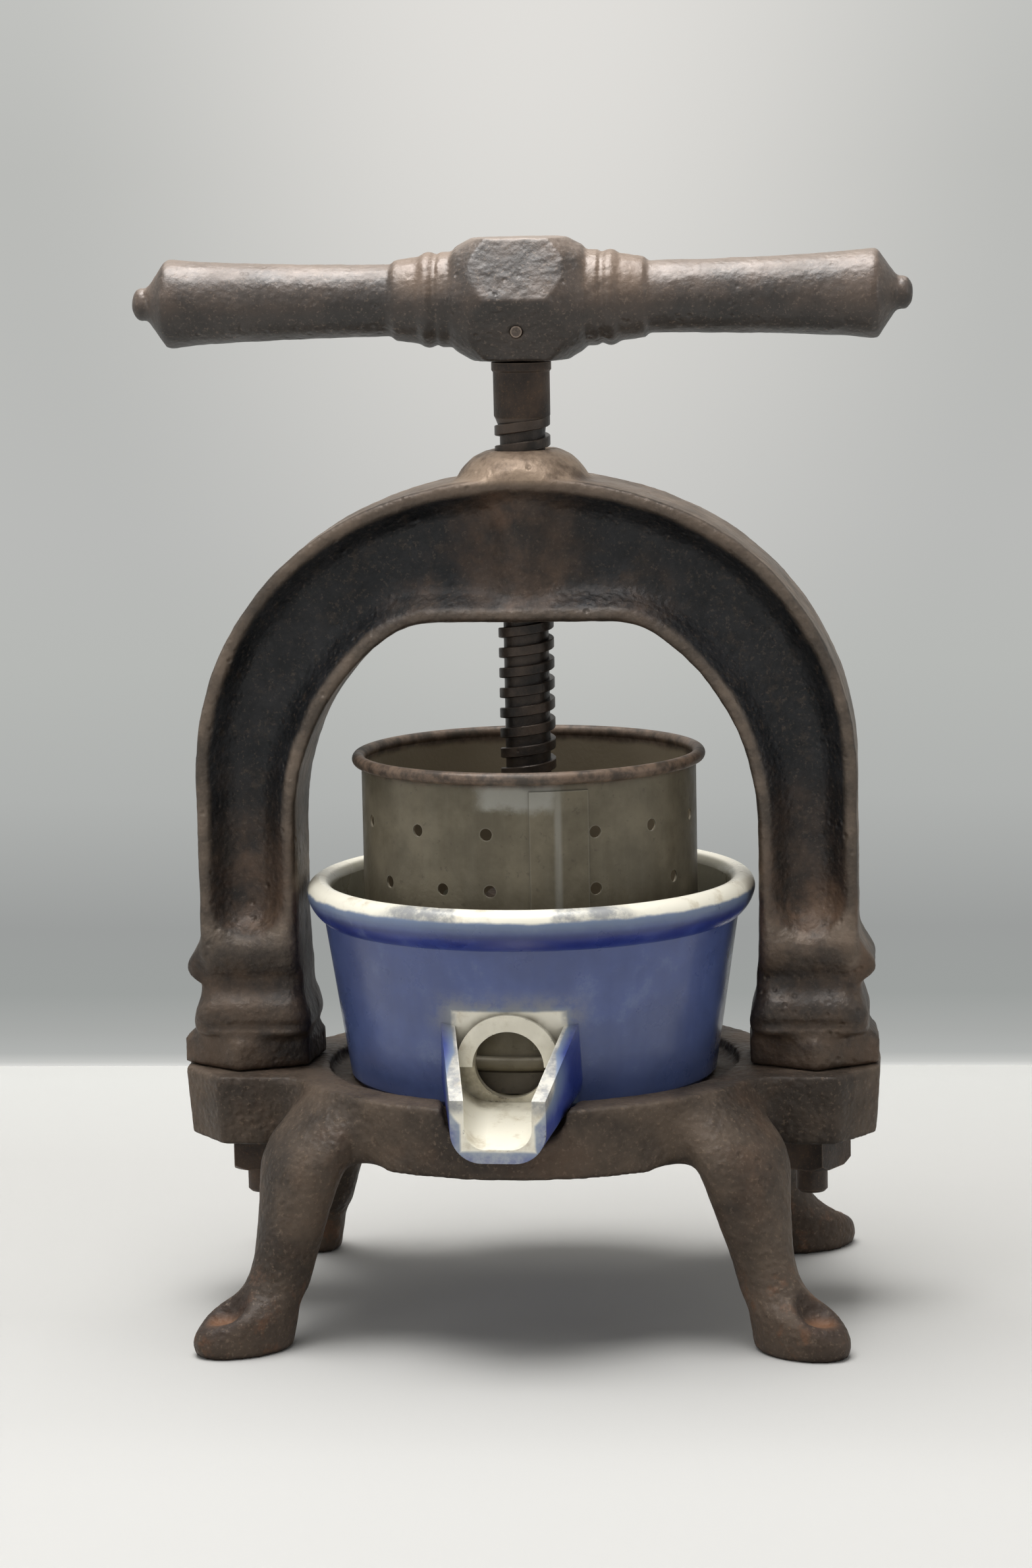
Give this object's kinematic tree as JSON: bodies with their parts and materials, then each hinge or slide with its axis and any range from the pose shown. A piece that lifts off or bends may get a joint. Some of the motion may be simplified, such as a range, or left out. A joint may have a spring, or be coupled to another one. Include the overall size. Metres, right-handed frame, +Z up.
{
  "type": "fruit press",
  "caption": "Table screw press for fruit: a cast arch on a four-legged base, a tee-handled screw with a pressing plate, a perforated strainer and an enamelled juice pan with a spout.",
  "frame": {"origin": "on the table, at the middle of the whole press from side to side and from the spout's lip to the back toes; the screw's axis is 6 mm behind it", "axes": "+Z up along the screw, +X to the right as seen from the spout's side, -Y towards the spout"},
  "size_m": [0.23, 0.1599, 0.3194],
  "materials": {
    "base_casting": "bare cast iron, brown, with a satin wear polish",
    "arch_frame": "cast iron, dark web, worn brown flange edges",
    "left_stud": "dull steel",
    "right_stud": "dull steel",
    "left_nut": "dull steel",
    "right_nut": "dull steel",
    "press_screw": "turned steel, greased",
    "tee_handle": "cast iron, worn to a warm satin",
    "handle_pin": "dull steel",
    "press_plate": "cast iron, satin",
    "plate_washer": "dull steel",
    "plate_pin": "dull steel",
    "strainer_cylinder": "tinned sheet, olive grey, rust on the rim",
    "strainer_top_wire": "steel wire",
    "strainer_bottom_wire": "steel wire",
    "strainer_plate": "tinned sheet, grey brown",
    "juice_pan": "gloss enamel, blue outside and white inside"
  },
  "bodies": {
    "stand": {"base_casting": "base_casting", "arch_frame": "arch_frame", "left_stud": "left_stud", "right_stud": "right_stud", "left_nut": "left_nut", "right_nut": "right_nut"},
    "plate": {"press_plate": "press_plate"},
    "screw": {"press_screw": "press_screw", "tee_handle": "tee_handle", "handle_pin": "handle_pin", "plate_washer": "plate_washer", "plate_pin": "plate_pin"},
    "pan": {"juice_pan": "juice_pan"},
    "strainer": {"strainer_cylinder": "strainer_cylinder", "strainer_top_wire": "strainer_top_wire", "strainer_bottom_wire": "strainer_bottom_wire", "strainer_plate": "strainer_plate"}
  },
  "joints": [
    {"name": "plate_slide", "type": "slide", "parent": "stand", "child": "plate", "axis": [0, 0, 1], "range_m": [-0.00951, 0.08001]},
    {"name": "screw_spin", "type": "hinge", "parent": "plate", "child": "screw", "pos_m": [0, 0.006, 0.3], "axis": [0, 0, 1], "range_deg": [-570, 4800]},
    {"name": "pan_lift", "type": "slide", "parent": "stand", "child": "pan", "axis": [0, 0, 1], "range_m": [0, 0.007]},
    {"name": "strainer_lift", "type": "slide", "parent": "pan", "child": "strainer", "axis": [0, 0, 1], "range_m": [0, 0.005]}
  ],
  "couplings": [
    {"joint": "plate_slide", "follows": "screw_spin", "m_per_rad": 0.00095493}
  ]
}
